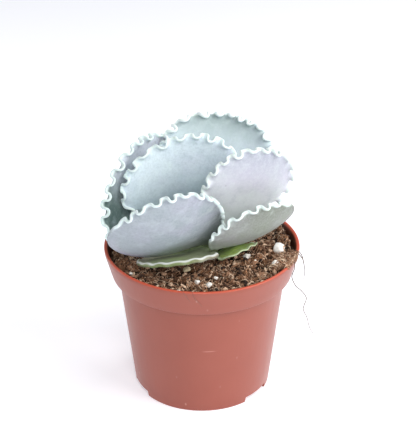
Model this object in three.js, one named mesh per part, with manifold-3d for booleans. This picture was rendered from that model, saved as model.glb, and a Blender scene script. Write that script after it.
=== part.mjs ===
// A young crinkle-leaved Cotyledon in a round plastic nursery pot.
// Millimetres, +Z up. The origin is on the ground, under the middle of the pot.

import * as THREE from 'three';
import { mergeVertices } from 'three/addons/utils/BufferGeometryUtils.js';
import Module from 'manifold-3d';

const wasm = await Module();
wasm.setup();

// Pot: a thin moulded shell with a wider collar under its lip
const RIM_RADIUS = 60;
const POT_HEIGHT = 95.3;
const WALL = 1.2;
const LIP_WIDTH = 2;
const LIP_ROUND = 0.9;
const COLLAR_HEIGHT = 17.7;
const COLLAR_LOW_RADIUS = 55.5;
const COLLAR_ROUND = 0.7;
const BODY_TOP_RADIUS = 51.6;
const BASE_RADIUS = 42.3;
const FLOOR_UNDERSIDE = 4;
const ROUND_STEPS = 44;

// Feet: the foot ring is cut away in three places, each with a drain hole above it
const NOTCH_COUNT = 3;
const NOTCH_FIRST = 83.5;
const NOTCH_ARC = 28;
const NOTCH_HEIGHT = 3.6;
const DRAIN_RADIUS = 4;
const DRAIN_CIRCLE = 34;

// Soil: its level, and how it lies inside the pot
const GAP = 0.3;
const SOIL_LEVEL = 88.2;
const SOIL_DISH = 1.6;
const SOIL_DISH_RADIUS = 18;
const CRUMB_COUNT = 26;
const CRUMB_SIZES = [0.9, 2.1];
const CRUMB_ZONE = [30, 54];

// Perlite grains that show: place on the soil, and radius
const PERLITE = [
  [47.3, -0.6, 4.4],
  [27.4, -8.1, 2.2],
  [44, -22.6, 2.2],
  [-2.7, -39.9, 2.0],
  [4.4, -43.9, 1.9],
  [8.4, -36.4, 1.3],
  [-13.9, -50.8, 1.5],
  [-42.3, -27.8, 1.1],
  [-20, 44, 2.2],
  [14, 48, 1.8],
  [36, 34, 2.5],
];

// Stem: upright, a little off the middle of the pot
const STEM_RADIUS = 4.6;
const STEM_FOOT = new THREE.Vector3(6.4, -0.9, 60);
const STEM_AT_SOIL = new THREE.Vector3(5.5, 0, 86);
const STEM_TOP_HEIGHT = 24;
const STEM_SIDES = 18;

// Blades: shares of their length, and the crinkled strip along their margin
const WIDEST_AT = 0.58;
const FOOT_HALF_WIDTH = 3.6;
const FLANK_POWER = 1;
const CROWN_POWER = 2.2;
const MARGIN_STRIP = 6;
const MARGIN_GROWTH = 1.3;
const MARGIN_HALF_THICKNESS = 0.62;
const TWIST_SHARE = 0.34;

// Leaves, in crossed pairs from the oldest up.
// bearing, rise and roll turn the blade. cup curls it across and arch bends it along, in degrees.
// node is the height on the stem over the soil, heart and foot are half the thickness there.
// crinkle is how far the margin turns up and down, in degrees, and crinkled where it does, as shares
// of the margin from the tip. wave: its length, phase, swing, and the swing's length and phase.
const ALL_ROUND = [-0.38, 0.38];
const LEAVES = [
  { name: 'leaf_low_right', bearing: -36, rise: 22, roll: -5, length: 25, width: 28,
    cup: -6, arch: 6, node: 4.6, heart: 2.5, foot: 1.9, steps: 14, crinkle: 10, crinkled: ALL_ROUND,
    wave: [9.5, 0.4, 0.4, 31, 0.8], colour: 0x7f9f5e },
  { name: 'leaf_low_left', bearing: 132, rise: 8, roll: 4, length: 34, width: 36,
    cup: 6, arch: 0, node: 3.8, heart: 2.4, foot: 1.9, steps: 14, crinkle: 14, crinkled: ALL_ROUND,
    wave: [10.5, 1.9, 0.4, 37, 0.2], colour: 0x8b9f6d },
  { name: 'leaf_low_front', bearing: -122, rise: 4.8, roll: 18.5, length: 48.9, width: 51.2,
    cup: 8.1, arch: 16.6, node: 7.6, heart: 2.3, foot: 1.6, steps: 18, crinkle: 10, crinkled: ALL_ROUND,
    flank: 1.7, wave: [10.5, 0.9, 0.5, 43, 2.1], colour: 0x8a9a72 },
  { name: 'leaf_low_back', bearing: 54, rise: 12, roll: -6, length: 42, width: 44,
    cup: 8, arch: 4, node: 7.8, heart: 2.4, foot: 1.7, steps: 15, crinkle: 16, crinkled: ALL_ROUND,
    wave: [10, 2.6, 0.5, 41, 1.1], colour: 0x8fa37e },
  { name: 'leaf_front_right', bearing: -46, rise: 17, roll: -11.5, length: 61.5, width: 56,
    cup: 17, arch: 55, node: 9.8, heart: 1.7, foot: 1.5, steps: 28, crinkle: 60, crinkled: [-0.34, 0.12],
    wave: [9.4, 2.64, 0.4, 33, 1.2], colour: 0xa9b8a6 },
  { name: 'leaf_left', bearing: 156, rise: 12.5, roll: -27.5, length: 81.5, width: 82,
    cup: 17, arch: 88.5, node: 9.8, heart: 1.7, foot: 1.5, steps: 33, crinkle: 62, crinkled: [-0.38, 0.27],
    flank: 2.4, wave: [10.9, 6.02, 0.7, 48, 3.04], colour: 0x9fb0ac },
  { name: 'leaf_front_left', bearing: -110, rise: 15, roll: 37, length: 83, width: 70,
    cup: 28.5, arch: 50.5, node: 13.6, heart: 1.7, foot: 1.5, steps: 32, crinkle: 64, crinkled: [-0.1, 0.42],
    wave: [9.6, 1.38, 0.4, 27, 0.3], colour: 0xb9bfc9 },
  { name: 'leaf_back', bearing: 81.5, rise: 60, roll: 10, length: 71.5, width: 72.5,
    cup: 31, arch: 0, node: 14.5, heart: 1.7, foot: 1.5, steps: 38, crinkle: 60, crinkled: ALL_ROUND,
    flank: 1.3, wave: [9, 4.71, 3, 75, 1.5], colour: 0xbccac8 },
  { name: 'leaf_right', bearing: -36, rise: 52, roll: -29, length: 67.5, width: 59,
    cup: 9, arch: 28, node: 18.6, heart: 1.7, foot: 1.5, steps: 28, crinkle: 64, crinkled: ALL_ROUND,
    wave: [9.4, 4.91, 0.42, 28, 0.26], colour: 0xc9c6d0 },
  { name: 'leaf_centre', bearing: 159, rise: 66, roll: -58.5, length: 60, width: 74.5,
    cup: 26, arch: 15, node: 18.9, heart: 1.7, foot: 1.5, steps: 30, crinkle: 62, crinkled: ALL_ROUND,
    flank: 2.2, wave: [11, 0.57, 1, 58, 2.65], colour: 0xb4c6d0 },
  { name: 'bud_leaf_front', bearing: -118, rise: 68, roll: 0, length: 13, width: 10,
    cup: 22, arch: 12, node: 23.2, heart: 1, foot: 0.9, steps: 8, crinkle: 30, crinkled: ALL_ROUND,
    strip: 1.6, footHalfWidth: 2.2, wave: [5, 0, 0, 20, 0], colour: 0xc3d3cf },
  { name: 'bud_leaf_back', bearing: 50, rise: 76, roll: 0, length: 11, width: 9,
    cup: 22, arch: 12, node: 23.2, heart: 1, foot: 0.9, steps: 8, crinkle: 30, crinkled: ALL_ROUND,
    strip: 1.6, footHalfWidth: 2, wave: [5, 1, 0, 20, 0], colour: 0xc3d3cf },
];
const POINTS_PER_STEP = 3;
const INNER_RINGS = [0.4, 0.75];
const STRIP_RINGS = [0.5, 1];

const DEG = Math.PI / 180;
const TURN = 2 * Math.PI;

// Numbers

function smooth(value) {
  const t = THREE.MathUtils.clamp(value, 0, 1);
  return t * t * (3 - 2 * t);
}

function seededRandom(seed) {
  let state = seed;
  return () => {
    state = (state * 16807) % 2147483647;
    return state / 2147483647;
  };
}

// Solids: welding, joining and cutting

function weld(geometry) {
  const bare = geometry.clone();
  bare.deleteAttribute('normal');
  bare.deleteAttribute('uv');
  const welded = mergeVertices(bare, 1e-4);
  const source = welded.index.array;
  const kept = [];
  for (let i = 0; i < source.length; i += 3) {
    const [a, b, c] = [source[i], source[i + 1], source[i + 2]];
    if (a !== b && b !== c && c !== a) kept.push(a, b, c);
  }
  welded.setIndex(kept);
  return facingOut(welded);
}

function signedVolume(geometry) {
  const [a, b, c] = [new THREE.Vector3(), new THREE.Vector3(), new THREE.Vector3()];
  const { position } = geometry.attributes;
  const corners = geometry.index.array;
  let sum = 0;
  for (let i = 0; i < corners.length; i += 3) {
    a.fromBufferAttribute(position, corners[i]);
    b.fromBufferAttribute(position, corners[i + 1]);
    c.fromBufferAttribute(position, corners[i + 2]);
    sum += a.dot(b.cross(c)) / 6;
  }
  return sum;
}

function facingOut(geometry) {
  if (signedVolume(geometry) < 0) {
    const corners = Array.from(geometry.index.array);
    geometry.setIndex(corners.reverse());
  }
  return geometry;
}

function solidOf(geometry) {
  const welded = weld(geometry);
  return new wasm.Manifold(new wasm.Mesh({
    numProp: 3,
    vertProperties: new Float32Array(welded.attributes.position.array),
    triVerts: new Uint32Array(welded.index.array),
  }));
}

function geometryOf(solid) {
  const mesh = solid.getMesh();
  const geometry = new THREE.BufferGeometry();
  geometry.setAttribute('position', new THREE.BufferAttribute(mesh.vertProperties, 3));
  geometry.setIndex(Array.from(mesh.triVerts));
  return geometry;
}

function named(name, geometry, colour, roughness) {
  geometry.computeVertexNormals();
  const material = new THREE.MeshStandardMaterial({ color: colour, roughness, metalness: 0 });
  const mesh = new THREE.Mesh(geometry, material);
  mesh.name = name;
  return mesh;
}

function turned(profile) {
  const points = profile.map(([radius, height]) => new THREE.Vector2(radius, height));
  return new THREE.LatheGeometry(points, ROUND_STEPS).rotateX(Math.PI / 2);
}

// Pot

const COLLAR_FOOT = POT_HEIGHT - COLLAR_HEIGHT;
const FLOOR_TOP = FLOOR_UNDERSIDE + WALL;
const COLLAR_INSIDE_LOW = [COLLAR_LOW_RADIUS - WALL, COLLAR_FOOT + WALL];
const COLLAR_INSIDE_HIGH = [RIM_RADIUS - LIP_WIDTH, POT_HEIGHT - LIP_ROUND];

function potProfile() {
  const foot = BASE_RADIUS;
  return [
    [0, FLOOR_UNDERSIDE],
    [foot - 2 * WALL, FLOOR_UNDERSIDE],
    [foot - WALL, 0],
    [foot - 0.3, 0],
    [foot, 0.4],
    [BODY_TOP_RADIUS, COLLAR_FOOT],
    [COLLAR_LOW_RADIUS - COLLAR_ROUND, COLLAR_FOOT],
    [COLLAR_LOW_RADIUS - 0.2, COLLAR_FOOT + 0.25],
    [COLLAR_LOW_RADIUS + 0.1, COLLAR_FOOT + COLLAR_ROUND],
    [RIM_RADIUS - 0.5, POT_HEIGHT - 2.6],
    [RIM_RADIUS, POT_HEIGHT - 1.5],
    [RIM_RADIUS - 0.3, POT_HEIGHT - 0.5],
    [RIM_RADIUS - LIP_WIDTH / 2, POT_HEIGHT],
    [RIM_RADIUS - LIP_WIDTH + 0.3, POT_HEIGHT - 0.3],
    COLLAR_INSIDE_HIGH,
    COLLAR_INSIDE_LOW,
    [BODY_TOP_RADIUS - WALL, COLLAR_FOOT + WALL],
    [foot - WALL + 0.3, FLOOR_TOP],
    [0, FLOOR_TOP],
  ];
}

function notchCutter(bearing) {
  const half = NOTCH_ARC / 2 * DEG;
  const wedge = new THREE.Shape();
  wedge.absarc(0, 0, BASE_RADIUS - 3 * WALL, -half, half, false);
  wedge.absarc(0, 0, BASE_RADIUS + 2 * WALL, half, -half, true);
  wedge.closePath();
  const cutter = new THREE.ExtrudeGeometry(wedge,
    { depth: NOTCH_HEIGHT + 1, bevelEnabled: false, curveSegments: 5 });
  return cutter.translate(0, 0, -1).rotateZ(bearing);
}

function drainCutter(bearing) {
  const drill = new THREE.CylinderGeometry(DRAIN_RADIUS, DRAIN_RADIUS, 4 * WALL, 14);
  drill.rotateX(Math.PI / 2);
  return drill.translate(DRAIN_CIRCLE, 0, FLOOR_UNDERSIDE + WALL / 2).rotateZ(bearing);
}

function potGeometry() {
  let pot = solidOf(turned(potProfile()));
  for (let i = 0; i < NOTCH_COUNT; i += 1) {
    const bearing = (NOTCH_FIRST + i * 360 / NOTCH_COUNT) * DEG;
    pot = pot.subtract(solidOf(notchCutter(bearing)));
    pot = pot.subtract(solidOf(drainCutter(bearing)));
  }
  return geometryOf(pot);
}

// Soil

function stemAxis(height) {
  const lean = new THREE.Vector3().subVectors(STEM_AT_SOIL, STEM_FOOT);
  return STEM_AT_SOIL.clone().addScaledVector(lean, height / lean.z);
}

function soilHeight(x, y) {
  const fromStem = Math.hypot(x - STEM_AT_SOIL.x, y - STEM_AT_SOIL.y);
  const fromMiddle = Math.hypot(x, y);
  const dish = -SOIL_DISH * Math.exp(-((fromStem / SOIL_DISH_RADIUS) ** 2));
  const lumps = 0.35 * Math.sin(0.31 * x + 0.6) * Math.sin(0.27 * y + 1.1)
    + 0.25 * Math.sin(0.63 * x - 0.41 * y);
  const bearing = Math.atan2(y, x) / DEG;
  const heap = 4.6 * Math.exp(-(((bearing - 4) / 31) ** 4)) * smooth((fromMiddle - 45) / 9);
  const frontRise = 1.1 * smooth(-y / 58) * smooth((fromMiddle - 44) / 10);
  return SOIL_LEVEL + dish + lumps + heap + frontRise;
}

function collarInside(height) {
  const [lowRadius, low] = COLLAR_INSIDE_LOW;
  const [highRadius, high] = COLLAR_INSIDE_HIGH;
  return THREE.MathUtils.mapLinear(height, low, high, lowRadius, highRadius);
}

function soilBody() {
  const rings = [
    { radius: BASE_RADIUS - 2 * WALL, height: FLOOR_TOP + GAP },
    { radius: BODY_TOP_RADIUS - WALL - 2 * GAP, height: COLLAR_FOOT + WALL },
    { radius: BODY_TOP_RADIUS - WALL - 2 * GAP, height: COLLAR_FOOT + WALL + GAP },
    { radius: COLLAR_INSIDE_LOW[0] - 2 * GAP, height: COLLAR_FOOT + WALL + GAP },
  ];
  const edge = collarInside(SOIL_LEVEL) - 2 * GAP;
  for (const share of [1, 0.93, 0.84, 0.73, 0.6, 0.45, 0.28]) {
    rings.push({ radius: share * edge });
  }
  const points = [0, 0, FLOOR_TOP + GAP];
  for (const { radius, height } of rings) {
    for (let i = 0; i < ROUND_STEPS; i += 1) {
      const x = radius * Math.cos(i * TURN / ROUND_STEPS);
      const y = radius * Math.sin(i * TURN / ROUND_STEPS);
      points.push(x, y, height ?? soilHeight(x, y));
    }
  }
  points.push(0, 0, soilHeight(0, 0));
  const triangles = [];
  const last = points.length / 3 - 1;
  for (let i = 0; i < ROUND_STEPS; i += 1) {
    const next = (i + 1) % ROUND_STEPS;
    triangles.push(0, 1 + next, 1 + i);
    triangles.push(last, last - ROUND_STEPS + i, last - ROUND_STEPS + next);
    for (let ring = 0; ring < rings.length - 1; ring += 1) {
      const low = 1 + ring * ROUND_STEPS;
      const high = low + ROUND_STEPS;
      triangles.push(low + i, low + next, high + i);
      triangles.push(low + next, high + next, high + i);
    }
  }
  const body = new THREE.BufferGeometry();
  body.setAttribute('position', new THREE.Float32BufferAttribute(points, 3));
  body.setIndex(triangles);
  return body;
}

function grain(x, y, radius, random) {
  const lump = new THREE.IcosahedronGeometry(radius, 0);
  lump.rotateX(random() * TURN);
  lump.rotateZ(random() * TURN);
  lump.scale(1, 0.75 + 0.25 * random(), 0.7);
  lump.rotateZ(random() * TURN);
  return lump.translate(x, y, soilHeight(x, y) + 0.12 * radius);
}

function soilGeometry() {
  const random = seededRandom(41);
  const pieces = [solidOf(soilBody())];
  for (const [x, y, radius] of PERLITE) {
    pieces.push(solidOf(grain(x, y, radius, random)));
  }
  for (let i = 0; i < CRUMB_COUNT; i += 1) {
    const bearing = random() * TURN;
    const distance = THREE.MathUtils.lerp(...CRUMB_ZONE, Math.sqrt(random()));
    const radius = THREE.MathUtils.lerp(...CRUMB_SIZES, random() ** 2);
    const [x, y] = [distance * Math.cos(bearing), distance * Math.sin(bearing)];
    pieces.push(solidOf(grain(x, y, radius, random)));
  }
  const filled = wasm.Manifold.union(pieces);
  return geometryOf(filled.subtract(solidOf(stemGeometry(STEM_RADIUS + GAP, GAP))));
}

// Stem

function stemGeometry(radius, extra) {
  const low = stemAxis(STEM_FOOT.z - STEM_AT_SOIL.z - extra);
  const high = stemAxis(STEM_TOP_HEIGHT + extra);
  const axis = new THREE.Vector3().subVectors(high, low);
  const stem = new THREE.CylinderGeometry(radius, radius, axis.length(), STEM_SIDES);
  const upright = new THREE.Vector3(0, 1, 0);
  const turn = new THREE.Quaternion().setFromUnitVectors(upright, axis.clone().normalize());
  stem.applyQuaternion(turn);
  const middle = new THREE.Vector3().addVectors(low, high).multiplyScalar(0.5);
  return weld(stem.translate(middle.x, middle.y, middle.z));
}

// Blades

// The flat outline: from the middle of the foot out to the right, round the tip and back
class BladeOutline extends THREE.Curve {
  constructor(length, width, footHalfWidth, flankPower) {
    super();
    this.length = length;
    this.halfWidth = width / 2;
    this.footHalfWidth = footHalfWidth;
    this.flankPower = flankPower;
    this.arcLengthDivisions = 800;
  }

  getPoint(t, target = new THREE.Vector2()) {
    const side = t < 0.5 ? 1 : -1;
    const share = t < 0.5 ? 2 * t : 2 * (1 - t);
    const footShare = 0.04;
    const flankShare = 0.5;
    if (share < footShare) {
      return target.set(side * this.footHalfWidth * share / footShare, 0);
    }
    if (share < flankShare) {
      const along = (share - footShare) / (flankShare - footShare);
      const widening = Math.sin(Math.PI / 2 * along) ** this.flankPower;
      const x = THREE.MathUtils.lerp(this.footHalfWidth, this.halfWidth, widening);
      return target.set(side * x, this.length * WIDEST_AT * along);
    }
    const angle = (share - flankShare) / (1 - flankShare) * Math.PI / 2;
    const x = this.halfWidth * Math.max(Math.cos(angle), 0) ** (2 / CROWN_POWER);
    const rest = Math.sin(angle) ** (2 / CROWN_POWER);
    return target.set(side * x, this.length * (WIDEST_AT + (1 - WIDEST_AT) * rest));
  }
}

// How far the margin strip turns up (+) or down (-) at a distance along the margin from the tip
function marginTurn(leaf, distance, perimeter) {
  const [length, phase, swing, swingLength, swingPhase] = leaf.wave;
  const [from, to] = leaf.crinkled;
  const share = distance / perimeter;
  const fade = smooth((share - from) / 0.1) * smooth((to - share) / 0.1);
  const size = 0.9 + 0.2 * Math.sin(TURN * distance / (2.7 * length) + 1.3 + phase);
  const drift = swing * Math.sin(TURN * distance / swingLength + swingPhase);
  const angle = leaf.crinkle * DEG * fade * size * Math.sin(TURN * distance / length + drift + phase);
  return Math.abs(angle) < 1e-3 ? 1e-3 : angle;
}

// Rings of points from the blade's middle out to its margin, still flat but for the margin strip
function bladeRings(leaf) {
  const strip = leaf.strip ?? MARGIN_STRIP;
  const length = leaf.length + MARGIN_GROWTH;
  const width = leaf.width + 2 * MARGIN_GROWTH;
  const footHalfWidth = leaf.footHalfWidth ?? FOOT_HALF_WIDTH;
  const outline = new BladeOutline(length, width, footHalfWidth, leaf.flank ?? FLANK_POWER);
  const perimeter = outline.getLength();
  const middle = new THREE.Vector2(0, 0.92 * WIDEST_AT * length);
  const ringAt = (count, place) => {
    const ring = outline.getSpacedPoints(count).slice(0, count);
    return ring.map((edge, i) => {
      const ray = edge.clone().sub(middle);
      const reach = ray.length();
      const { out, up } = place(reach, (i / count - 0.5) * perimeter);
      const point = middle.clone().addScaledVector(ray, out / reach);
      return new THREE.Vector3(point.x, point.y, up);
    });
  };
  const inner = (share) => (reach) => ({ out: share * (reach - strip), up: 0 });
  const folded = (share) => (reach, distance) => {
    const angle = marginTurn(leaf, distance, perimeter);
    const out = reach - strip + strip / angle * Math.sin(angle * share);
    return { out, up: strip / angle * (1 - Math.cos(angle * share)) };
  };
  const many = leaf.steps * POINTS_PER_STEP;
  const rings = [{ points: [new THREE.Vector3(middle.x, middle.y, 0)], edgeShare: 0 }];
  for (const share of INNER_RINGS) {
    rings.push({ points: ringAt(leaf.steps, inner(share)), edgeShare: 0.85 * share });
  }
  rings.push({ points: ringAt(leaf.steps, inner(1)), edgeShare: 0.88 });
  for (const share of STRIP_RINGS) {
    rings.push({ points: ringAt(many, folded(share)), edgeShare: 0.88 + 0.12 * share });
  }
  return { rings, length };
}

// Triangles between two neighbouring rings, the outer with as many points or a multiple of them
function stitch(triangles, inner, outer, innerCount, outerCount) {
  if (innerCount === 1) {
    for (let i = 0; i < outerCount; i += 1) {
      triangles.push(inner, outer + i, outer + (i + 1) % outerCount);
    }
    return;
  }
  const each = outerCount / innerCount;
  for (let i = 0; i < innerCount; i += 1) {
    const next = (i + 1) % innerCount;
    const turnAt = each === 1 ? i % 2 : Math.floor(each / 2);
    for (let k = 0; k < each; k += 1) {
      const from = outer + (i * each + k) % outerCount;
      const to = outer + (i * each + k + 1) % outerCount;
      if (k === turnAt) triangles.push(inner + i, from, inner + next);
      triangles.push(k < turnAt ? inner + i : inner + next, from, to);
    }
    if (turnAt === each) triangles.push(inner + i, outer + (i * each + each) % outerCount, inner + next);
  }
}

// The blade's place: cupped across, bent along, turned level at its foot, and set on the stem
function placer(leaf) {
  const [bearing, rise, roll] = [leaf.bearing * DEG, leaf.rise * DEG, leaf.roll * DEG];
  const outward = new THREE.Vector3(Math.cos(bearing), Math.sin(bearing), 0);
  const foot = stemAxis(leaf.node);
  foot.addScaledVector(outward, STEM_RADIUS + GAP + leaf.foot * Math.sin(rise));
  const along = outward.clone().multiplyScalar(Math.cos(rise)).setZ(Math.sin(rise));
  const upright = outward.clone().multiplyScalar(-Math.sin(rise)).setZ(Math.cos(rise));
  const face = upright.clone().applyAxisAngle(along, roll);
  const across = new THREE.Vector3().crossVectors(along, face);
  const cupRadius = leaf.width / 2 / (leaf.cup * DEG);
  const archRadius = leaf.arch === 0 ? 1e6 : leaf.length / (leaf.arch * DEG);
  return (point) => {
    const cupped = point.x / cupRadius;
    const side = (cupRadius - point.z) * Math.sin(cupped);
    const lift = cupRadius - (cupRadius - point.z) * Math.cos(cupped);
    const twist = roll * (1 - smooth(point.y / (TWIST_SHARE * leaf.length)));
    const sideways = side * Math.cos(twist) - lift * Math.sin(twist);
    const upwards = lift * Math.cos(twist) + side * Math.sin(twist);
    const bent = point.y / archRadius;
    return foot.clone()
      .addScaledVector(across, sideways)
      .addScaledVector(along, (archRadius - upwards) * Math.sin(bent))
      .addScaledVector(face, archRadius - (archRadius - upwards) * Math.cos(bent));
  };
}

function vertexNormals(points, triangles) {
  const sheet = new THREE.BufferGeometry().setFromPoints(points);
  sheet.setIndex(triangles);
  sheet.computeVertexNormals();
  const { normal } = sheet.attributes;
  return points.map((_, i) => new THREE.Vector3().fromBufferAttribute(normal, i));
}

function halfThickness(leaf, edgeShare, footShare) {
  const thin = Math.min(MARGIN_HALF_THICKNESS, leaf.foot);
  const body = thin + (leaf.heart - thin) * (1 - edgeShare ** 2.2);
  const nearFoot = thin + (leaf.foot - thin) * smooth(1 - footShare / 0.35);
  return Math.max(body, nearFoot);
}

// Both faces use the same triangles, so a crinkled margin never crosses itself
function leafGeometry(leaf) {
  const { rings, length } = bladeRings(leaf);
  const place = placer(leaf);
  const middles = [];
  const halves = [];
  const starts = [];
  for (const { points, edgeShare } of rings) {
    starts.push(middles.length);
    for (const point of points) {
      middles.push(place(point));
      halves.push(halfThickness(leaf, edgeShare, point.y / length));
    }
  }
  const sheet = [];
  for (let i = 0; i + 1 < rings.length; i += 1) {
    const [innerCount, outerCount] = [rings[i].points.length, rings[i + 1].points.length];
    stitch(sheet, starts[i], starts[i + 1], innerCount, outerCount);
  }
  const normals = vertexNormals(middles, sheet);
  const offset = (sign) => middles.map((point, i) => (
    point.clone().addScaledVector(normals[i], sign * halves[i])));
  const count = middles.length;
  const triangles = [...sheet];
  for (let i = 0; i < sheet.length; i += 3) {
    triangles.push(sheet[i + 2] + count, sheet[i + 1] + count, sheet[i] + count);
  }
  const margin = starts.at(-1);
  const marginCount = rings.at(-1).points.length;
  for (let i = 0; i < marginCount; i += 1) {
    const [here, next] = [margin + i, margin + (i + 1) % marginCount];
    triangles.push(next, here, here + count);
    triangles.push(next, here + count, next + count);
  }
  const blade = new THREE.BufferGeometry().setFromPoints([...offset(1), ...offset(-1)]);
  blade.setIndex(triangles);
  return facingOut(blade);
}

// The whole plant in its pot

const plant = new THREE.Group();
plant.add(named('pot', potGeometry(), 0xb96e5f, 0.45));
plant.add(named('soil', soilGeometry(), 0x4d3829, 0.95));
plant.add(named('stem', stemGeometry(STEM_RADIUS, 0), 0x8d9a72, 0.7));
for (const leaf of LEAVES) {
  plant.add(named(leaf.name, leafGeometry(leaf), leaf.colour, 0.6));
}

export default plant;
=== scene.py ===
import math

import bmesh
import bpy
import numpy as np
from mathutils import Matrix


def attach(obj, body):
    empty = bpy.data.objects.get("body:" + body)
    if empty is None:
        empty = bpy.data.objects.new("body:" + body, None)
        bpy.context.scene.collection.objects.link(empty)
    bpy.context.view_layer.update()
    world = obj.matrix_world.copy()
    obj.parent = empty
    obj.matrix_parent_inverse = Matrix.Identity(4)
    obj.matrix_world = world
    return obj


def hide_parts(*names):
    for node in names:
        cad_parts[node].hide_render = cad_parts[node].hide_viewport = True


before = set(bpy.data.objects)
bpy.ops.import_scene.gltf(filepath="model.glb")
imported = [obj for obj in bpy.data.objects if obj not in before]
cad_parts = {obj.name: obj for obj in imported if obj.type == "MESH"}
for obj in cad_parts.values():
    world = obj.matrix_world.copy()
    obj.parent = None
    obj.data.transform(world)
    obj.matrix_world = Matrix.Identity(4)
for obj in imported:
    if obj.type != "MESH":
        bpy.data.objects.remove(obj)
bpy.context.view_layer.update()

# A young crinkle-leaved Cotyledon in a round plastic nursery pot. Sizes are in millimetres, and the
# meshes are written in metres. The origin is on the ground, under the middle of the pot.

# Stage: a white table top under broad soft light, seen from 28 degrees above it through a long lens.
# The frame is 440 units high and the lens has a focal length of 1500 of them. The lamps point at a spot
# in the plant's lower leaves.
MM = 0.001
VIEW_TARGET = np.array([3.78, 0, 111.2])
VIEW_DISTANCE = 912
VIEW_ELEVATION = math.radians(28.08)
FRAME_HEIGHT = 440
FOCAL_LENGTH = 1500
SENSOR = 36
TABLE_SIZE = 5000
LIT_SPOT = np.array([0, 0, 100])


def linear(colour):
    """A hex colour, sRGB, as linear red, green, blue and alpha."""
    channels = np.array([colour >> 16 & 255, colour >> 8 & 255, colour & 255]) / 255
    light = np.where(channels <= 0.04045, channels / 12.92, ((channels + 0.055) / 1.055) ** 2.4)
    return (*light.tolist(), 1.0)


def add(tree, kind, inputs=(), **settings):
    """Adds one shader node, its kind given without the prefix ShaderNode: its settings, then its inputs,
    each a plain value or an output to link to."""
    made = tree.nodes.new("ShaderNode" + kind)
    for name, value in settings.items():
        setattr(made, name, value)
    for name, value in dict(inputs).items():
        if isinstance(value, bpy.types.NodeSocket):
            tree.links.new(value, made.inputs[name])
        else:
            made.inputs[name].default_value = value
    return made


def new_material(name):
    """A material with no nodes yet, and its node tree."""
    material = bpy.data.materials.new(name)
    material.use_nodes = True
    material.node_tree.nodes.clear()
    return material, material.node_tree


def finish_material(tree, inputs):
    """Ends a material's nodes with one Principled shader, whose inputs are given, on its output."""
    shader = add(tree, "BsdfPrincipled", inputs)
    add(tree, "OutputMaterial", {"Surface": shader.outputs["BSDF"]})


def new_object(name, data):
    """An object of a mesh, lamp or camera, put in the scene."""
    made = bpy.data.objects.new(name, data)
    bpy.context.scene.collection.objects.link(made)
    return made


camera = new_object("camera", bpy.data.cameras.new("camera"))
backward = np.array([0, -math.cos(VIEW_ELEVATION), math.sin(VIEW_ELEVATION)])
camera.location = (VIEW_TARGET + VIEW_DISTANCE * backward) * MM
camera.rotation_euler = (math.pi / 2 - VIEW_ELEVATION, 0, 0)
camera.data.lens = FOCAL_LENGTH / FRAME_HEIGHT * SENSOR
camera.data.sensor_width = SENSOR
camera.data.clip_start = 0.05
bpy.context.scene.camera = camera
bpy.context.scene.view_settings.view_transform = "Standard"

world = bpy.data.worlds.new("soft room")
bpy.context.scene.world = world
world.use_nodes = True
world.node_tree.nodes.clear()
sky = add(world.node_tree, "Background", {"Color": (0.95, 0.97, 1, 1), "Strength": 0.28})
add(world.node_tree, "OutputWorld", {"Surface": sky.outputs["Background"]})

for name, place, size, power in [
    ("key softbox", (680, -330, 640), 800, 7.0),
    ("front softbox", (0, -760, 660), 600, 3.95),
    ("back softbox", (560, 480, 700), 500, 2.4),
    ("left glow", (-720, 330, 300), 620, 1.7),
]:
    lamp = bpy.data.lights.new(name, "AREA")
    lamp.shape = "DISK"
    lamp.size = size * MM
    lamp.energy = power
    lamp.color = (1, 0.985, 0.96)
    lamp_object = new_object(name, lamp)
    lamp_object.location = np.array(place) * MM
    aim = LIT_SPOT - np.array(place)
    lamp_object.rotation_euler = (
        math.acos(-aim[2] / np.linalg.norm(aim)), 0, math.atan2(aim[1], aim[0]) - math.pi / 2)

# White laminate, lit nearly to its limit. It also glows a little, cooler than the lamps, so that the
# shade on it stays pale and bluish.
table_material, tree = new_material("white laminate")
finish_material(tree, {
    "Base Color": (0.91, 0.92, 0.955, 1), "Roughness": 0.6,
    "Emission Color": (0.91, 0.925, 1, 1), "Emission Strength": 0.39})
half = TABLE_SIZE / 2 * MM
table_mesh = bpy.data.meshes.new("table top")
table_mesh.from_pydata(
    [(-half, -half, 0), (half, -half, 0), (half, half, 0), (-half, half, 0)], [], [(0, 1, 2, 3)])
table_mesh.materials.append(table_material)
table_top = new_object("table_top", table_mesh)

# Pot: one injection moulding in terracotta-coloured polypropylene, 120 mm over its rolled lip, with a
# collar that nests on the next pot in a stack. Its foot ring is notched in three places, and each
# notch has a drain hole behind it. The thin lip lets light through and looks more orange, which is
# painted light: a brighter orange at the top of the lip.
RIM_RADIUS = 60
POT_HEIGHT = 95.3
WALL = 1.2
LIP_WIDTH = 2
LIP_DEPTH = 2.4
LIP_OVERHANG = 0.25
COLLAR_FOOT = 77.6
COLLAR_LOW_RADIUS = 55.5
BODY_TOP_RADIUS = 51.6
BASE_RADIUS = 42.3
BODY_SLOPE = 0.12
FLOOR_UNDERSIDE = 4
NOTCH_FIRST = 83.5
NOTCH_HALF_ARC = 14
NOTCH_HEIGHT = 3.6
DRAIN_RADIUS = 4
DRAIN_CIRCLE = 34
DRILL_DEPTH = 6
POT_SIDES = 288
NOTCH_BEARINGS = np.radians(NOTCH_FIRST + np.array([0, 120, 240]))
RUB_MIDDLE = np.array([4.4, -47, 47.1])
RUB_HALF_SIZE = np.array([5, 9, 0.45])


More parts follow.
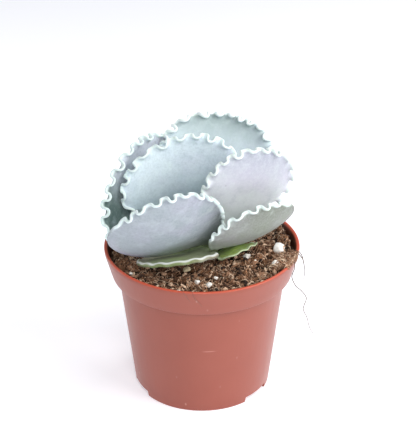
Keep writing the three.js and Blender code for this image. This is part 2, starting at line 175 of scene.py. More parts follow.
def rounded(corners, radii, steps=5):
    """Each corner of an outline becomes a parabola from the point its radius before the corner to the one
    as far after it: (1 - t)^2 start + 2 t (1 - t) corner + t^2 end. The two ends stay sharp."""
    corners = np.asarray(corners, float)
    cut = np.asarray(radii, float)[:, None]
    before = corners[:-2] - corners[1:-1]
    after = corners[2:] - corners[1:-1]
    start = corners[1:-1] + before / np.linalg.norm(before, axis=1, keepdims=True) * cut
    end = corners[1:-1] + after / np.linalg.norm(after, axis=1, keepdims=True) * cut
    t = np.linspace(0, 1, steps)[None, :, None]
    bends = (1 - t) ** 2 * start[:, None] + 2 * t * (1 - t) * corners[1:-1, None] + t**2 * end[:, None]
    return np.vstack([corners[:1], bends.reshape(-1, 2), corners[-1:]])


def divided(outline, longest):
    """The outline with points added evenly along each stretch that is longer than the given length."""
    parts = []
    for start, end in zip(outline[:-1], outline[1:]):
        count = max(1, math.ceil(math.dist(start, end) / longest))
        parts.append(start + (end - start) * (np.arange(count) / count)[:, None])
    return np.vstack([*parts, outline[-1:]])


def around_axis(radius, bearings, height):
    """Points round the upright axis: the radius times the cosine and the sine of the bearing, and the
    height."""
    return np.stack(np.broadcast_arrays(
        radius * np.cos(bearings), radius * np.sin(bearings), height), axis=-1)


def closed_skin(rows):
    """Points and faces of a closed skin over rows of points. Each row is a loop, and the first and last
    row are shrunk to one point each: quads join neighbouring rows, and a fan closes either end."""
    middle = rows[1:-1]
    count, loop = middle.shape[:2]
    points = np.vstack([rows[0, :1], middle.reshape(-1, 3), rows[-1, :1]])
    here = 1 + np.arange(count * loop).reshape(count, loop)
    ahead = np.roll(here, -1, axis=1)
    quads = np.stack([here[:-1], ahead[:-1], ahead[1:], here[1:]], axis=-1).reshape(-1, 4)
    first = np.stack([np.zeros(loop, int), ahead[0], here[0]], axis=-1)
    last = np.stack([np.full(loop, len(points) - 1), here[-1], ahead[-1]], axis=-1)
    return points, [quads, np.vstack([first, last])]


def new_piece(name, points, faces, material, slot, node=None, marks=None, smooth=True):
    """A mesh of millimetre points, turned so that its faces point out, seated in the frame. The signed
    volume, a sixth of the sum of a . (b x c) over the faces' triangles, is below zero if they point in."""
    volume = sum(
        np.einsum("ij,ij->", points[part[:, 0]], np.cross(points[part[:, k]], points[part[:, k + 1]]))
        for part in faces
        for k in range(1, part.shape[1] - 1)
    )
    if volume < 0:
        faces = [part[:, ::-1] for part in faces]
    mesh = bpy.data.meshes.new(name)
    mesh.from_pydata((points * MM).tolist(), [], [face for part in faces for face in part.tolist()])
    mesh.shade_smooth() if smooth else mesh.shade_flat()
    for label, values in (marks or {}).items():
        attribute = mesh.attributes.new(label, "FLOAT", "POINT")
        attribute.data.foreach_set("value", np.asarray(values, np.float32).ravel())
    mesh.materials.append(material)
    piece = new_object(name, mesh)
    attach(piece, "root")
    if node:
        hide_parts(node)
    return piece


def coated(tree, colour, coats, fading="LINEAR"):
    """A colour with coats over it, one after the other. Each coat has the output that tells where it lies,
    the values of that at which it starts and reaches its share, the share, and its colour. A colour is a
    hex one or an output."""
    for value, start, end, share, coat in coats:
        cover = add(
            tree, "MapRange", {"Value": value, "From Min": start, "From Max": end, "To Max": share},
            interpolation_type=fading)
        under, over = (linear(tint) if isinstance(tint, int) else tint for tint in (colour, coat))
        colour = add(
            tree, "Mix", {0: cover.outputs["Result"], 6: under, 7: over}, data_type="RGBA").outputs[2]
    return colour


# Polypropylene, moulded: an even satin skin that reflects the room softly, with a faint drag of the
# mould down its wall, dust specks and one pale rub mark. The collar's inside is painted near-black, as
# painted shade where the wall falls dark behind the soil. Places are in metres, and noise scales are
# one over the size in metres.
pot_material, tree = new_material("moulded polypropylene")
place = add(tree, "TexCoord").outputs["Object"]
height = add(tree, "SeparateXYZ", {"Vector": place}).outputs["Z"]
cloudy = add(tree, "TexNoise", {"Vector": place, "Scale": 1 / (22 * MM), "Detail": 3.0})
stretched = add(tree, "Mapping", {"Vector": place, "Scale": (1, 1, 0.55)})
specks = add(tree, "TexVoronoi", {"Vector": stretched.outputs["Vector"], "Scale": 1 / (9 * MM)})
speck_pick = add(tree, "SeparateColor", {"Color": specks.outputs["Color"]})
speck_colour = coated(tree, 0x8A4A40, [(speck_pick.outputs["Red"], 0, 1, 1, 0xE0B0A2)])

# The painted shade is found by the depth under the collar's outside: what lies a wall's thickness in is
# inside.
flat_place = add(tree, "VectorMath", {0: place, 1: (1, 1, 0)}, operation="MULTIPLY")
from_middle = add(tree, "VectorMath", {0: flat_place.outputs["Vector"]}, operation="LENGTH")
collar_slope = (RIM_RADIUS - LIP_OVERHANG - COLLAR_LOW_RADIUS) / (POT_HEIGHT - LIP_DEPTH - COLLAR_FOOT)
outside = add(
    tree, "Math",
    {0: height, 1: collar_slope, 2: (COLLAR_LOW_RADIUS - collar_slope * COLLAR_FOOT) * MM},
    operation="MULTIPLY_ADD")
depth_in = add(
    tree, "Math", {0: outside.outputs["Value"], 1: from_middle.outputs["Value"]}, operation="SUBTRACT")
inner_shade_share = add(
    tree, "MapRange",
    {"Value": depth_in.outputs["Value"], "From Min": 0.7 * WALL * MM, "From Max": WALL * MM, "To Max": 0.9})
below_lip = add(tree, "MapRange", {"Value": height, "From Min": 94.5 * MM, "From Max": 93.6 * MM})
in_collar = add(tree, "Math", {0: height, 1: (COLLAR_FOOT + 0.9 * WALL) * MM}, operation="GREATER_THAN")
inner_wall_shade = inner_shade_share.outputs["Result"]
for limit in (below_lip.outputs["Result"], in_collar.outputs["Value"]):
    inner_wall_shade = add(tree, "Math", {0: inner_wall_shade, 1: limit}, operation="MULTIPLY").outputs["Value"]

rub_place = add(tree, "VectorMath", {0: place, 1: tuple(RUB_MIDDLE * MM)}, operation="SUBTRACT")
rub_shape = add(
    tree, "VectorMath", {0: rub_place.outputs["Vector"], 1: tuple(1 / (RUB_HALF_SIZE * MM))},
    operation="MULTIPLY")
rub_distance = add(tree, "VectorMath", {0: rub_shape.outputs["Vector"]}, operation="LENGTH")
colour = coated(tree, 0x934A3B, [
    (cloudy.outputs["Fac"], 0, 1, 1, 0x9C5242),
    # Painted light: the top of the lip is a brighter orange, for the light that comes through it.
    (height, 94.3 * MM, 95.2 * MM, 1, 0xC4553C),
    (specks.outputs["Distance"], 0.085, 0.04, 0.35, speck_colour),
    # Painted shade: the collar's inside, above the soil, is painted near-black.
    (inner_wall_shade, 0, 1, 1, 0x321C15),
    (rub_distance.outputs["Value"], 1, 0.5, 0.4, 0xD69A8C),
])
drag = add(tree, "Mapping", {"Vector": place, "Scale": (1, 1, 0.12)})
drag_noise = add(
    tree, "TexNoise", {"Vector": drag.outputs["Vector"], "Scale": 1 / (2.2 * MM), "Detail": 4.0})
satin = add(tree, "MapRange", {"Value": drag_noise.outputs["Fac"], "To Min": 0.28, "To Max": 0.42})
grain = add(tree, "TexNoise", {"Vector": place, "Scale": 1 / (0.7 * MM), "Detail": 3.0})
grain_bump = add(tree, "Bump", {"Height": grain.outputs["Fac"], "Strength": 0.12, "Distance": 0.05 * MM})
drag_bump = add(
    tree, "Bump",
    {"Height": drag_noise.outputs["Fac"], "Strength": 0.25, "Distance": 0.08 * MM,
     "Normal": grain_bump.outputs["Normal"]})
finish_material(tree, {
    "Base Color": colour, "Roughness": satin.outputs["Result"], "IOR": 1.49,
    "Subsurface Weight": 0.08, "Subsurface Radius": (1.0, 0.35, 0.2), "Subsurface Scale": 1.5 * MM,
    "Normal": drag_bump.outputs["Normal"]})

pot_profile = divided(rounded(
    [
        (0, FLOOR_UNDERSIDE),
        (BASE_RADIUS - 2 * WALL, FLOOR_UNDERSIDE),
        (BASE_RADIUS - WALL, 0),
        (BASE_RADIUS, 0),
        (BASE_RADIUS + BODY_SLOPE * (NOTCH_HEIGHT + 0.05), NOTCH_HEIGHT + 0.05),
        (BODY_TOP_RADIUS, COLLAR_FOOT),
        (COLLAR_LOW_RADIUS, COLLAR_FOOT),
        (RIM_RADIUS - LIP_OVERHANG, POT_HEIGHT - LIP_DEPTH),
        (RIM_RADIUS, POT_HEIGHT),
        (RIM_RADIUS - LIP_WIDTH, POT_HEIGHT),
        (COLLAR_LOW_RADIUS - WALL, COLLAR_FOOT + WALL),
        (BODY_TOP_RADIUS - WALL, COLLAR_FOOT + WALL),
        (BASE_RADIUS - WALL + 0.3, FLOOR_UNDERSIDE + WALL),
        (0, FLOOR_UNDERSIDE + WALL),
    ],
    [0.3, 0.35, 0.4, 0.01, 0.8, 0.7, 0.6, 1.0, 0.8, 0.6, 0.6, 1.0],
), 5)

# A column stands close on either side of each notch's side, so that it is cut steep.
side_edges = np.radians(NOTCH_HALF_ARC + np.array([-0.3, 0.3]))
bearings = np.sort(np.concatenate([
    np.linspace(0, 2 * math.pi, POT_SIDES, endpoint=False),
    (NOTCH_BEARINGS[:, None, None] + side_edges * np.array([[1], [-1]])).ravel() % (2 * math.pi),
]))
from_notch = np.abs((bearings[:, None] - NOTCH_BEARINGS + math.pi) % (2 * math.pi) - math.pi).min(axis=1)
notched = from_notch < math.radians(NOTCH_HALF_ARC)
radius, height = pot_profile[:, :1], pot_profile[:, 1:]
lifted = np.where(notched, np.maximum(height, NOTCH_HEIGHT), height)
outer_wall = BASE_RADIUS + (BODY_TOP_RADIUS - BASE_RADIUS) * NOTCH_HEIGHT / COLLAR_FOOT
raised_radius = np.where((lifted > height) & (radius > BASE_RADIUS - 0.5), outer_wall, radius)
pot = new_piece(
    "nursery_pot", *closed_skin(around_axis(raised_radius, bearings, lifted)), pot_material, "pot_plastic",
    node="pot")
pot.data.set_sharp_from_angle(angle=math.radians(40))

# The drain holes are cut by three round drills, which are then thrown away.
drills = bmesh.new()
for bearing in NOTCH_BEARINGS:
    made = bmesh.ops.create_cone(
        drills, cap_ends=True, segments=40, radius1=DRAIN_RADIUS * MM, radius2=DRAIN_RADIUS * MM,
        depth=DRILL_DEPTH * MM)
    middle = np.array([
        DRAIN_CIRCLE * math.cos(bearing), DRAIN_CIRCLE * math.sin(bearing), FLOOR_UNDERSIDE + WALL / 2])
    bmesh.ops.translate(drills, verts=made["verts"], vec=middle * MM)
drill_mesh = bpy.data.meshes.new("drills")
drills.to_mesh(drill_mesh)
drills.free()
drill_object = new_object("drills", drill_mesh)
cut = pot.modifiers.new("drain holes", "BOOLEAN")
cut.operation = "DIFFERENCE"
cut.object = drill_object
drilled = bpy.data.meshes.new_from_object(pot.evaluated_get(bpy.context.evaluated_depsgraph_get()))
pot.modifiers.clear()
pot.data = drilled
bpy.data.objects.remove(drill_object)

# Soil: peat pressed in round the stem and loose on top, some 7 mm below the lip. It is heaped on the
# right, where a little was spilt over the rim, and has shrunk from the wall on the right and the left.
# The heap and the furrows have a middle and a half width, in degrees of bearing.
GAP = 0.3
SOIL_LEVEL = 88.2
SOIL_DISH = 1.6
SOIL_DISH_RADIUS = 18
STEM_AT_SOIL = np.array([5.5, 0, 86])
HEAP_HEIGHT = 4.6
HEAP_MIDDLE = 4
HEAP_HALF_WIDTH = 31
CLOD_HEIGHT = 2.3
BED_RINGS = 140
BED_SIDES = 420
FURROW_DEPTH = 8
FURROWS = [(6, 15), (176, 24)]


def smooth(value):
    """0 below 0, 1 above 1, and 3 t^2 - 2 t^3 between."""
    t = np.clip(value, 0, 1)
    return t * t * (3 - 2 * t)


def lattice_noise(points, cell, seed):
    """Values from -1 to 1: a random number at each corner of a lattice of cubes of the given size, blended
    between the eight corners round a point by the smooth weights 3 t^2 - 2 t^3."""
    spot = points / cell
    low = np.floor(spot).astype(np.int64)
    blend = smooth(spot - low)
    total = np.zeros(points.shape[:-1])
    for offset in np.ndindex(2, 2, 2):
        x, y, z = np.moveaxis(low + offset, -1, 0)
        mixed = (x * 73856093) ^ (y * 19349663) ^ (z * 83492791) ^ (seed * 2654435761)
        mixed = (mixed ^ (mixed >> 13)) * 1274126177 & 0xFFFFFFFF
        mixed = (mixed ^ (mixed >> 16)) & 0xFFFF
        weight = np.prod(np.where(offset, blend, 1 - blend), axis=-1)
        total += weight * (mixed / 32767.5 - 1)
    return total


def soil_height(x, y):
    """The soil's level, with a shallow dish round the stem, low swells, the heap at the right rim and a
    slight rise towards the front of the pot."""
    from_stem = np.hypot(x - STEM_AT_SOIL[0], y - STEM_AT_SOIL[1])
    dish = -SOIL_DISH * np.exp(-((from_stem / SOIL_DISH_RADIUS) ** 2))
    swells = 0.35 * np.sin(0.31 * x + 0.6) * np.sin(0.27 * y + 1.1) + 0.25 * np.sin(0.63 * x - 0.41 * y)
    out = np.hypot(x, y)
    bearing = np.degrees(np.arctan2(y, x))
    heaped = np.exp(-(((bearing - HEAP_MIDDLE) / HEAP_HALF_WIDTH) ** 4))
    heap = HEAP_HEIGHT * heaped * smooth((out - 45) / 9)
    front = 1.1 * smooth(-y / 58) * smooth((out - 44) / 10)
    return SOIL_LEVEL + dish + swells + heap + front


def clods(x, y):
    """The bed's crumbs, from about -1 in the cracks to 1 on top: |noise| has round tops with sharp cracks
    between them, and is added up at 4.4, 2.2 and 1.1 mm on low swells of 9 mm."""
    flat = np.stack([x, y, 0 * x], axis=-1)
    lumps = [
        share * (2.6 * np.abs(lattice_noise(flat, cell, seed)) - 0.75)
        for cell, share, seed in [(4.4, 0.5, 2), (2.2, 0.3, 3), (1.1, 0.2, 4)]]
    return 0.8 * lattice_noise(flat, 9, 1) + sum(lumps)


def rough_soil_height(x, y):
    """The soil's level with its clods, and the furrows where it has shrunk from the wall."""
    out = np.hypot(x, y)
    bearing = np.degrees(np.arctan2(y, x))
    furrow = sum(
        smooth(1.4 - np.abs((bearing - middle + 180) % 360 - 180) / half) for middle, half in FURROWS)
    sunk = FURROW_DEPTH * furrow * smooth((out - 54.2) / 0.9)
    return soil_height(x, y) + CLOD_HEIGHT * clods(x, y) - sunk


# Moist peat, brown and quite matt, with painted shade that turns it near-black in the cracks between
# its crumbs. It is crumbly at 1.9 mm, and its grit is drawn at 0.8 mm, coarser than the real one.
peat_material, tree = new_material("moist peat")
place = add(tree, "TexCoord").outputs["Object"]
tone_and_crack_shade = add(tree, "Attribute", attribute_name="tone_and_crack_shade")
crumbly = add(
    tree, "TexNoise", {"Vector": place, "Scale": 1 / (1.9 * MM), "Detail": 5.0, "Roughness": 0.7})
colour = coated(tree, 0x32211A, [
    (crumbly.outputs["Fac"], 0.35, 0.68, 1, 0xB0805E),
    # Painted shade: near-black in the cracks between the bed's clods, where the bed's mark is low.
    (tone_and_crack_shade.outputs["Fac"], 1, 0, 1, 0x0A0605),
])
gritty = add(tree, "TexNoise", {"Vector": place, "Scale": 1 / (0.8 * MM), "Detail": 4.0})
grit = add(tree, "Bump", {"Height": gritty.outputs["Fac"], "Strength": 0.9, "Distance": 0.4 * MM})
finish_material(tree, {
    "Base Color": colour, "Roughness": 0.95, "Specular IOR Level": 0.25,
    "Normal": grit.outputs["Normal"]})

collar_heights = (COLLAR_FOOT + WALL, POT_HEIGHT - 0.9)
collar_radii = (COLLAR_LOW_RADIUS - WALL, RIM_RADIUS - LIP_WIDTH)
soil_edge = np.interp(SOIL_LEVEL, collar_heights, collar_radii) - 2 * GAP
turns = np.linspace(0, 2 * math.pi, BED_SIDES, endpoint=False)
reach = (np.linspace(0, 1, BED_RINGS) * soil_edge)[:, None]
x, y = reach * np.cos(turns), reach * np.sin(turns)
soil_top = np.stack([x, y, rough_soil_height(x, y)], axis=-1)
# Painted shade: the bed's mark is low in the cracks between its clods, which are painted dark there.
painted_crack_shade = smooth(0.25 + 0.95 * clods(x, y))
soil_floor = FLOOR_UNDERSIDE + WALL + GAP
side_radius, side_height = np.array([
    (COLLAR_LOW_RADIUS - WALL - 2 * GAP, COLLAR_FOOT + WALL + GAP),
    (BODY_TOP_RADIUS - WALL - 2 * GAP, COLLAR_FOOT + WALL),
    (BASE_RADIUS - 2 * WALL, soil_floor),
    (0, soil_floor),
]).T[..., None]
soil_side = around_axis(side_radius, turns, side_height)
soil_marks = np.concatenate([painted_crack_shade[0, :1], painted_crack_shade[1:].ravel(), np.zeros(3 * len(turns) + 1)])
new_piece(
    "soil_bed", *closed_skin(np.concatenate([soil_top, soil_side])), peat_material, "potting_soil",
    node="soil", marks={"tone_and_crack_shade": soil_marks})

# Crumbs, chips and fibres: what lies loose on the bed. Crumbs of peat are broken lumps of 0.8 to 4 mm,
# the chips are flat splinters of bark, and the fibres are torn moss and root, tan where they have dried.
# What was spilt lies on a narrow fan over the lip: its level goes by the distance from the middle.
CRUMB_COUNT = 3900
CHIP_COUNT = 420
FIBRE_COUNT = 2300
SPILL_CRUMBS = 520
SPILL_FIBRES = 190
SPILL_BEARING = math.radians(-22)
SPILL_SPREAD = math.radians(9)
SPILL_REACH = (49, 60)
SPILL_DISTANCES = (49, 56.5, 58.5, 60.2)
SPILL_LEVELS = (92, 95, 96.2, 95.7)
random = np.random.default_rng(41)

# Dry bark and peat: matt, dark when moist and tan when dry, in streaks of 0.9 mm.
scrap_material, tree = new_material("bark and peat fibre")
place = add(tree, "TexCoord").outputs["Object"]
tone_and_crack_shade = add(tree, "Attribute", attribute_name="tone_and_crack_shade").outputs["Fac"]
streak = add(tree, "TexNoise", {"Vector": place, "Scale": 1 / (0.9 * MM), "Detail": 3.0})
colour = coated(tree, 0x20130D, [
    (tone_and_crack_shade, 0, 1, 1, 0xD6A07C),
    (tone_and_crack_shade, 0.6, 1, 1, 0xFFE4C8),
    (streak.outputs["Fac"], 0.45, 0.7, 0.6, 0x4A3226),
])
finish_material(tree, {"Base Color": colour, "Roughness": 0.9})


def random_turns(count):
    """Rotation matrices evenly spread over all directions, from normalised random quaternions."""
    quaternion = random.normal(size=(count, 4))
    w, x, y, z = (quaternion / np.linalg.norm(quaternion, axis=1, keepdims=True)).T
    return np.stack([
        1 - 2 * (y * y + z * z), 2 * (x * y - w * z), 2 * (x * z + w * y),
        2 * (x * y + w * z), 1 - 2 * (x * x + z * z), 2 * (y * z - w * x),
        2 * (x * z - w * y), 2 * (y * z + w * x), 1 - 2 * (x * x + y * y),
    ], axis=-1).reshape(count, 3, 3)


def spread(count, largest):
    """Places on the soil, as many to each square millimetre everywhere: the radius goes with the root."""
    bearing = random.uniform(0, 2 * math.pi, count)
    out = largest * np.sqrt(random.uniform(0, 1, count))
    return out * np.cos(bearing), out * np.sin(bearing)


def spilt(count):
    """Places in the heap on the right rim, and its level there, which climbs over the lip."""
    bearing = SPILL_BEARING + SPILL_SPREAD * random.uniform(-1, 1, count)
    out = random.uniform(*SPILL_REACH, count)
    return out * np.cos(bearing), out * np.sin(bearing), np.interp(out, SPILL_DISTANCES, SPILL_LEVELS)


def ball(subdivisions):
    """The corners and triangles of a unit ball cut from an icosahedron."""
    source = bmesh.new()
    bmesh.ops.create_icosphere(source, subdivisions=subdivisions, radius=1)
    corners = np.array([corner.co for corner in source.verts])
    triangles = np.array([[corner.index for corner in face.verts] for face in source.faces])
    source.free()
    return corners, triangles


def repeated(faces, corner_count, copies):
    """The faces of many copies laid end to end in one list of points."""
    return (faces[None] + corner_count * np.arange(copies)[:, None, None]).reshape(-1, faces.shape[1])


corners, triangles = ball(1)


def broken(size, turned):
    """Broken lumps: balls whose corners are pulled in or out at random, each stretched to its size and
    turned."""
    shape = corners * random.uniform(0.55, 1.25, (len(size), len(corners), 1)) * size[:, None]
    return np.einsum("nij,nkj->nki", turned, shape)


def lay_lumps(name, lumps, x, y, z, tone_and_crack_shade):
    """One piece of many lumps, each set down at its place, with its tone."""
    points = (lumps + np.stack([x, y, z], axis=-1)[:, None]).reshape(-1, 3)
    new_piece(
        name, points, [repeated(triangles, len(corners), len(x))], scrap_material, "potting_soil",
        marks={"tone_and_crack_shade": np.repeat(tone_and_crack_shade, len(corners))}, smooth=False)


radius = 0.4 + 1.7 * random.uniform(0, 1, CRUMB_COUNT) ** 3
breadth = random.uniform(0.5, 1, CRUMB_COUNT)
depth = random.uniform(0.35, 0.8, CRUMB_COUNT)
size = radius[:, None] * np.stack([np.ones(CRUMB_COUNT), breadth, depth], axis=-1)
x, y = spread(CRUMB_COUNT, 55.4)
lay_lumps(
    "soil_crumbs", broken(size, random_turns(CRUMB_COUNT)), x, y, rough_soil_height(x, y) + 0.2 * radius,
    random.uniform(0, 1, CRUMB_COUNT) ** 2.4)

length = random.uniform(1.1, 3.6, CHIP_COUNT)
breadth = length * random.uniform(0.25, 0.55, CHIP_COUNT)
depth = random.uniform(0.3, 0.6, CHIP_COUNT)
size = np.stack([length, breadth, depth], axis=-1)
bearing = random.uniform(0, 2 * math.pi, CHIP_COUNT)
tilt = random.normal(0, 0.35, CHIP_COUNT)
flat_turns = np.stack([
    np.cos(bearing) * np.cos(tilt), -np.sin(bearing), np.cos(bearing) * np.sin(tilt),
    np.sin(bearing) * np.cos(tilt), np.cos(bearing), np.sin(bearing) * np.sin(tilt),
    -np.sin(tilt), 0 * tilt, np.cos(tilt),
], axis=-1).reshape(CHIP_COUNT, 3, 3)
x, y = spread(CHIP_COUNT, 53.5)
lay_lumps(
    "bark_chips", broken(size, flat_turns), x, y, soil_height(x, y) + random.uniform(0.4, 1.6, CHIP_COUNT),
    0.25 + 0.65 * random.uniform(0, 1, CHIP_COUNT))

radius = random.uniform(0.5, 1.5, SPILL_CRUMBS)
x, y, level = spilt(SPILL_CRUMBS)
lay_lumps(
    "spilt_crumbs", broken(np.repeat(radius[:, None], 3, axis=1), random_turns(SPILL_CRUMBS)), x, y,
    level - random.uniform(0, 1.4, SPILL_CRUMBS), 0.1 + 0.6 * random.uniform(0, 1, SPILL_CRUMBS))

FIBRE_STEPS = 7
FIBRE_SIDES = 3


def strands(x, y, z, follow):
    """Rows of points of many thin strands. Each heads off level from its start at random, its heading
    swinging by the square of the way along, and bows up and down again. Where it is to follow the bed, it
    lies halfway between the ground under each step and the mean of it. Three points stand round each step,
    by the heading's normal and the up direction, and taper towards the end."""
    count = len(x)
    along = np.linspace(0, 1, FIBRE_STEPS)[None]
    length = random.uniform(1.6, 7, count)[:, None]
    turn = random.uniform(0, 2 * math.pi, count)[:, None] + random.normal(0, 1.2, count)[:, None] * along**2
    x = x[:, None] + np.cumsum(length / FIBRE_STEPS * np.cos(turn), axis=1)
    y = y[:, None] + np.cumsum(length / FIBRE_STEPS * np.sin(turn), axis=1)
    out = np.maximum(np.hypot(x, y), 1)
    drawn_in = np.minimum(1, (60.4 - 4 * follow) / out)
    x, y = x * drawn_in, y * drawn_in
    bow = random.uniform(-0.2, 1.3, count)[:, None] * np.sin(math.pi * along)
    ground = rough_soil_height(x, y)
    bed = (ground + ground.mean(axis=1, keepdims=True)) / 2
    z = (bed if follow else z[:, None]) + bow + random.uniform(0.1, 0.9, count)[:, None]
    line = np.stack([x, y, z], axis=-1)
    sideways = np.stack([-np.sin(turn), np.cos(turn), 0 * turn], axis=-1)
    taper = random.uniform(0.13, 0.36, count)[:, None] * (1 - 0.6 * along**2)
    ring = np.arange(FIBRE_SIDES) * 2 * math.pi / FIBRE_SIDES
    around = sideways[:, :, None] * np.cos(ring)[:, None] + np.array([0, 0, 1]) * np.sin(ring)[:, None]
    return line[:, :, None] + taper[:, :, None, None] * around


def lay_strands(name, rows, tone_and_crack_shade):
    """One piece of many strands, each closed by a triangle at either end, with its tone."""
    count, points_each = len(rows), FIBRE_STEPS * FIBRE_SIDES
    here = np.arange(points_each).reshape(FIBRE_STEPS, FIBRE_SIDES)
    ahead = np.roll(here, -1, axis=1)
    wall = np.stack([here[:-1], ahead[:-1], ahead[1:], here[1:]], axis=-1).reshape(-1, 4)
    ends = np.stack([here[0, ::-1], here[-1]])
    new_piece(
        name, rows.reshape(-1, 3), [repeated(wall, points_each, count), repeated(ends, points_each, count)],
        scrap_material, "potting_soil", marks={"tone_and_crack_shade": np.repeat(tone_and_crack_shade, points_each)})


x, y = spread(FIBRE_COUNT, 54.5)
lay_strands("soil_fibres", strands(x, y, None, True), random.uniform(0.3, 1, FIBRE_COUNT))
lay_strands("spilt_fibres", strands(*spilt(SPILL_FIBRES), False), random.uniform(0.35, 1, SPILL_FIBRES))

# Perlite: glassy rock puffed up by heat, in white broken grains of up to 8 mm, pitted and quite matt. One
# of them is stained yellow by clay. A grain has its place on the bed, its radius, how stained it is, and
# how far it is lifted to lie on the crumbs. It is a ball with flat cuts at random round it.
PERLITE = [
    (47.3, -0.6, 4.9, 0, -0.3), (27.4, -8.1, 2.2, 0, 1.4), (44, -22.6, 2.2, 0, 3.8),
    (-2.7, -39.9, 2, 0, 1.6), (4.4, -43.9, 1.9, 0, 1.5), (8.4, -36.4, 1.3, 0, 2.6),
    (-13.9, -50.8, 1.8, 0, 0.4), (-42.3, -27.8, 1.1, 0.2, 0.6), (-8.8, -24.2, 2.6, 1, 1.4),
    (49.5, -9.5, 0.8, 0, 1), (32.6, -12, 0.7, 0.2, 1), (-17.5, -54.8, 1.3, 0.1, 0.4),
    (-20, 44, 2.2, 0, 0.4), (14, 48, 1.8, 0, 0.4), (36, 34, 2.5, 0, 0.4),
]
PERLITE_CUTS = 14

perlite_material, tree = new_material("expanded perlite")
place = add(tree, "TexCoord").outputs["Object"]
stain = add(tree, "Attribute", attribute_name="stain")
dusty = add(tree, "TexNoise", {"Vector": place, "Scale": 1 / (1.6 * MM), "Detail": 3.0})
colour = coated(tree, 0xFBF9F6, [
    (dusty.outputs["Fac"], 0.52, 0.75, 0.4, 0xD2C0A8),
    (stain.outputs["Fac"], 0, 1, 1, 0xE9D9B4),
])
pits = add(tree, "TexVoronoi", {"Vector": place, "Scale": 1 / (0.6 * MM)})
pitted = add(tree, "Bump", {"Height": pits.outputs["Distance"], "Strength": 0.5, "Distance": 0.12 * MM})
finish_material(tree, {"Base Color": colour, "Roughness": 0.9, "Normal": pitted.outputs["Normal"]})

corners, triangles = ball(4)
grains = []
for x, y, grain_radius, _, lift in PERLITE:
    facing = random.normal(size=(PERLITE_CUTS, 3))
    facing /= np.linalg.norm(facing, axis=1, keepdims=True)
    depth = random.uniform(0.6, 1, PERLITE_CUTS)
    cut_off = np.min(depth / np.maximum(corners @ facing.T, 0.02), axis=1)
    lump = corners * (np.minimum(cut_off, 1.1) + 0.05 * lattice_noise(corners + x, 0.35, 6))[:, None]
    lump = lump * (1, random.uniform(0.75, 1), 0.9) @ random_turns(1)[0].T
    lump = lump * grain_radius * (1.05, 1, 0.8)
    ground = soil_height(np.array([x]), np.array([y]))[0]
    grains.append(lump + (x, y, ground + 0.5 * grain_radius + lift))
grain_stain = np.repeat([grain[3] for grain in PERLITE], len(corners))
new_piece(
    "perlite_grains", np.concatenate(grains), [repeated(triangles, len(corners), len(PERLITE))],
    perlite_material, "potting_soil", marks={"stain": grain_stain})

# Root hairs: dry tan roots that came out with the soil and hang over the rim. Each is listed by its
# thickness and the places that it passes.
ROOT_HAIRS = [
    (0.52, [
        (55, -9.5, 94.6), (58.2, -11.4, 96), (60.6, -12, 93.5), (62, -12, 88), (62.8, -12, 82.5),
        (62.3, -12, 76.4)]),
    (0.6, [(53, -13, 93.6), (57.6, -14, 95.9), (60.9, -14.6, 92.6), (61.6, -14.8, 89.6)]),
    (0.52, [
        (52.6, -24.6, 94.6), (55.1, -25.4, 96), (55.6, -25.6, 92), (54.2, -25, 86), (56.6, -24, 79.2),
        (60.4, -24, 75.4), (63.4, -24, 70.6), (62.2, -24, 65.2), (61.9, -24, 61.9), (64.3, -24, 56.4),
        (65.9, -24, 49.8), (68.7, -24, 44.3)]),
    (0.2, [
        (-12.4, -56.4, 94.6), (-11.2, -58.8, 95.9), (-9.8, -60.2, 94.6), (-8, -60, 91.6),
        (-6.4, -59.4, 88.9)]),
    (0.2, [(-7, -57, 95), (-5.4, -59.6, 95.7), (-4.2, -59.9, 92), (-1.6, -58.9, 88), (0.4, -58.2, 85)]),
]

root_material, tree = new_material("dry root hair")
place = add(tree, "TexCoord").outputs["Object"]
mottled = add(tree, "TexNoise", {"Vector": place, "Scale": 1 / (3 * MM)})
colour = coated(tree, 0x463A34, [(mottled.outputs["Fac"], 0, 1, 1, 0x8C7868)])
finish_material(tree, {"Base Color": colour, "Roughness": 0.8})


def hair(thickness, stops, steps=60, sides=5):
    """A round thread through its stops. Between two stops p1 and p2 it follows the cubic that leaves p1
    along p2 - p0 and reaches p2 along p3 - p1. The rings stand square to it, on one fixed direction."""
    stops = np.array(stops, float)
    ends = np.vstack([2 * stops[0] - stops[1], stops, 2 * stops[-1] - stops[-2]])
    spot = np.linspace(0, len(stops) - 1, steps)
    first = np.minimum(spot.astype(int), len(stops) - 2)
    t = (spot - first)[:, None]
    p0, p1, p2, p3 = (ends[first + k] for k in range(4))
    line = p1 + (p2 - p0) / 2 * t + (2 * p0 - 5 * p1 + 4 * p2 - p3) / 2 * t**2
    line = line + (3 * p1 - p0 - 3 * p2 + p3) / 2 * t**3
    along = np.gradient(line, axis=0)
    along /= np.linalg.norm(along, axis=1, keepdims=True)
    side = np.cross(along, (0.3, 1, 0.1))
    side /= np.linalg.norm(side, axis=1, keepdims=True)
    other = np.cross(along, side)
    ring = np.linspace(0, 2 * math.pi, sides, endpoint=False)
    radius = thickness / 2 * (1 - 0.5 * np.linspace(0, 1, steps) ** 3)
    around = side[:, None] * np.cos(ring)[:, None] + other[:, None] * np.sin(ring)[:, None]
    rows = line[:, None] + radius[:, None, None] * around
    tips = [np.repeat(line[k][None, None], sides, axis=1) for k in (0, -1)]
    return np.concatenate([tips[0], rows, tips[1]])


for number, (thickness, stops) in enumerate(ROOT_HAIRS, 1):
    new_piece(f"root_hair_{number}", *closed_skin(hair(thickness, stops)), root_material, "potting_soil")

# Stem: short, fleshy and grey-green, with a pair of leaves at each joint and its skin slightly wrinkled.
STEM_RADIUS = 4.6
STEM_LEAN = np.array([-0.9, 0.9, 26]) / 26
STEM_LOW = -26
STEM_TOP = 24
STEM_SIDES = 48

